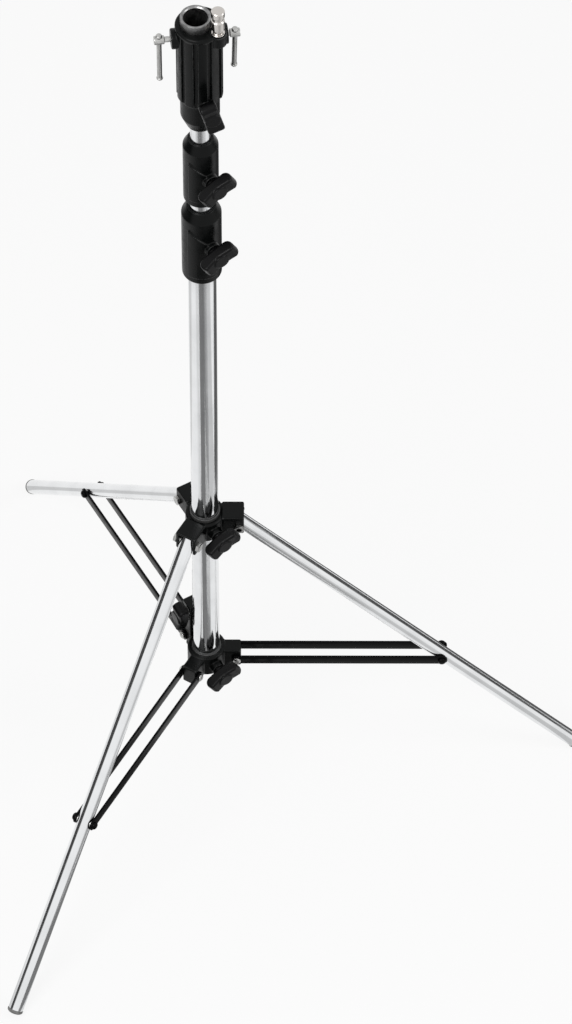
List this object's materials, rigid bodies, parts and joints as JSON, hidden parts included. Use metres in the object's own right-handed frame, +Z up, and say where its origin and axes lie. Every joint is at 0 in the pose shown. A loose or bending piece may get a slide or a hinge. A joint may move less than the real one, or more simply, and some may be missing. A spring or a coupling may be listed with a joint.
{
  "type": "folding tripod stand with telescopic column",
  "caption": "Chrome steel tripod stand with folding braced legs, telescopic column, wing-knob collars, and a screwed socket with a side stud on top.",
  "frame": {"origin": "centre of the underside of the end plug in the column's lower tube, on the column's axis", "axes": "+Z up along the column, +X horizontally towards the right-hand leg; the other legs stand at 120 degrees to either side"},
  "size_m": [0.7696, 0.8852, 1.4935],
  "materials": {
    "chrome": "bright chrome plate on steel tube",
    "cast_black": "die casting painted satin black",
    "knob_black": "moulded, low gloss",
    "zinc": "zinc plated, slightly dull",
    "bar_black": "flat steel painted gloss black",
    "bush_black": "turned nylon, dark",
    "foot_grey": "moulded, matt grey"
  },
  "bodies": {
    "column": {"main_tube": "chrome", "main_tube_plug": "bush_black", "main_collar": "cast_black"},
    "main_collar_knob": {"main_collar_knob": "knob_black", "main_collar_screw": "zinc"},
    "riser_1": {"riser_1_tube": "chrome", "riser_1_bush": "bush_black", "riser_collar": "cast_black"},
    "riser_collar_knob": {"riser_collar_knob": "knob_black", "riser_collar_screw": "zinc"},
    "riser_2": {"riser_2_tube": "chrome", "riser_2_bush": "bush_black", "head_casting": "cast_black", "head_socket": "chrome", "head_stud": "chrome"},
    "head_knob": {"head_knob": "knob_black", "head_screw": "zinc"},
    "socket_screw_right": {"socket_screw_right": "zinc"},
    "tommy_bar_right": {"tommy_bar_right": "zinc"},
    "socket_screw_left": {"socket_screw_left": "zinc"},
    "tommy_bar_left": {"tommy_bar_left": "zinc"},
    "lower_collar": {"lower_collar": "cast_black", "lower_collar_bush": "bush_black", "levelling_post": "zinc", "brace_pin_right": "zinc", "brace_pin_front": "zinc"},
    "lower_collar_knob": {"lower_collar_knob": "knob_black", "lower_collar_screw": "zinc"},
    "spider": {"spider_casting": "cast_black", "spider_bush": "bush_black", "leg_bolt_right": "zinc", "leg_bolt_front": "zinc", "leg_bolt_level": "zinc"},
    "spider_knob": {"spider_knob": "knob_black", "spider_screw": "zinc"},
    "leg_right": {"leg_right_tube": "chrome", "leg_foot_right": "foot_grey", "brace_bush_right": "zinc"},
    "leg_front": {"leg_front_tube": "chrome", "leg_foot_front": "foot_grey", "brace_bush_front": "zinc"},
    "leg_level": {"leg_level_tube": "chrome", "leg_foot_level": "foot_grey", "brace_bush_level": "zinc"},
    "braces_right": {"brace_right_bar_a": "bar_black", "brace_right_bar_b": "bar_black"},
    "braces_front": {"brace_front_bar_a": "bar_black", "brace_front_bar_b": "bar_black"},
    "levelling_slider": {"levelling_slider": "cast_black"},
    "levelling_knob": {"levelling_knob": "knob_black", "levelling_screw": "zinc"},
    "brace_pin_level": {"brace_pin_level": "zinc"},
    "braces_level": {"brace_level_bar_a": "bar_black", "brace_level_bar_b": "bar_black"}
  },
  "joints": [
    {"name": "leg_assembly_slide", "type": "slide", "parent": "column", "child": "lower_collar", "axis": [0, 0, -1], "range_m": [-0.17, 0]},
    {"name": "fold_slide", "type": "slide", "parent": "lower_collar", "child": "spider", "axis": [0, 0, 1], "range_m": [0, 0.37361]},
    {"name": "riser_1_slide", "type": "slide", "parent": "column", "child": "riser_1", "axis": [0, 0, 1], "range_m": [-0.0152, 0.78]},
    {"name": "riser_2_slide", "type": "slide", "parent": "riser_1", "child": "riser_2", "axis": [0, 0, 1], "range_m": [-0.0272, 0.83]},
    {"name": "levelling_slide", "type": "slide", "parent": "lower_collar", "child": "levelling_slider", "axis": [0, 0, -1], "range_m": [-0.075, 0]},
    {"name": "main_collar_knob_turn", "type": "hinge", "parent": "column", "child": "main_collar_knob", "pos_m": [0.01625, -0.02815, 0.8903], "axis": [0.5, -0.866, 0], "range_deg": [0, 360]},
    {"name": "riser_collar_knob_turn", "type": "hinge", "parent": "riser_1", "child": "riser_collar_knob", "pos_m": [0.01475, -0.02555, 1.0133], "axis": [0.5, -0.866, 0], "range_deg": [0, 360]},
    {"name": "head_knob_turn", "type": "hinge", "parent": "riser_2", "child": "head_knob", "pos_m": [0.01066, -0.03281, 1.1533], "axis": [0.309, -0.9511, 0], "range_deg": [0, 360]},
    {"name": "spider_knob_turn", "type": "hinge", "parent": "spider", "child": "spider_knob", "pos_m": [0.01775, -0.03074, 0.31938], "axis": [0.5, -0.866, 0], "range_deg": [0, 360]},
    {"name": "lower_collar_knob_turn", "type": "hinge", "parent": "lower_collar", "child": "lower_collar_knob", "pos_m": [0.01775, -0.03074, 0.024], "axis": [0.5, -0.866, 0], "range_deg": [0, 360]},
    {"name": "levelling_knob_turn", "type": "hinge", "parent": "levelling_slider", "child": "levelling_knob", "pos_m": [-0.02605, 0.02052, 0.085], "axis": [-0.866, -0.5, 0], "range_deg": [0, 360]},
    {"name": "socket_screw_right_turn", "type": "hinge", "parent": "riser_2", "child": "socket_screw_right", "pos_m": [0.04126, 0.00636, 1.2463], "axis": [0.9903, 0.1392, 0], "range_deg": [0, 360]},
    {"name": "tommy_bar_right_slide", "type": "slide", "parent": "socket_screw_right", "child": "tommy_bar_right", "axis": [0.0194, -0.1378, 0.9903], "range_m": [0, 0.0588]},
    {"name": "socket_screw_left_turn", "type": "hinge", "parent": "riser_2", "child": "socket_screw_left", "pos_m": [-0.04658, -0.00598, 1.2463], "axis": [-0.9903, -0.1392, 0], "range_deg": [0, 360]},
    {"name": "tommy_bar_left_slide", "type": "slide", "parent": "socket_screw_left", "child": "tommy_bar_left", "axis": [0, 0, 1], "range_m": [0, 0.0588]},
    {"name": "leg_right_fold", "type": "hinge", "parent": "spider", "child": "leg_right", "pos_m": [0.044, 0, 0.31938], "axis": [0, 1, 0], "range_deg": [0, 37.41]},
    {"name": "brace_right_fold", "type": "hinge", "parent": "lower_collar", "child": "braces_right", "pos_m": [0.0405, 0, 0.024], "axis": [0, -1, 0], "range_deg": [0, 81.94]},
    {"name": "leg_front_fold", "type": "hinge", "parent": "spider", "child": "leg_front", "pos_m": [-0.022, -0.0381, 0.31938], "axis": [0.866, -0.5, 0], "range_deg": [0, 37.41]},
    {"name": "brace_front_fold", "type": "hinge", "parent": "lower_collar", "child": "braces_front", "pos_m": [-0.02025, -0.03507, 0.024], "axis": [-0.866, 0.5, 0], "range_deg": [0, 81.94]},
    {"name": "leg_level_fold", "type": "hinge", "parent": "spider", "child": "leg_level", "pos_m": [-0.022, 0.0381, 0.31938], "axis": [-0.866, -0.5, 0], "range_deg": [0, 37.41]},
    {"name": "brace_level_tilt", "type": "hinge", "parent": "lower_collar", "child": "brace_pin_level", "pos_m": [-0.15939, 0.27607, 0.0615], "axis": [-0.866, -0.5, 0], "range_deg": [0, 15.36]},
    {"name": "brace_level_fold", "type": "hinge", "parent": "brace_pin_level", "child": "braces_level", "pos_m": [-0.02025, 0.03507, 0.024], "axis": [0.866, 0.5, 0], "range_deg": [0, 81.94]}
  ],
  "couplings": [
    {"joint": "leg_right_fold", "follows": "fold_slide", "rad_per_m": 1.7471},
    {"joint": "brace_right_fold", "follows": "fold_slide", "rad_per_m": 3.8273},
    {"joint": "leg_front_fold", "follows": "fold_slide", "rad_per_m": 1.7471},
    {"joint": "brace_front_fold", "follows": "fold_slide", "rad_per_m": 3.8273},
    {"joint": "leg_level_fold", "follows": "fold_slide", "rad_per_m": 1.7471},
    {"joint": "brace_level_fold", "follows": "fold_slide", "rad_per_m": 3.8273},
    {"joint": "brace_level_tilt", "follows": "levelling_slide", "rad_per_m": -3.5721}
  ]
}
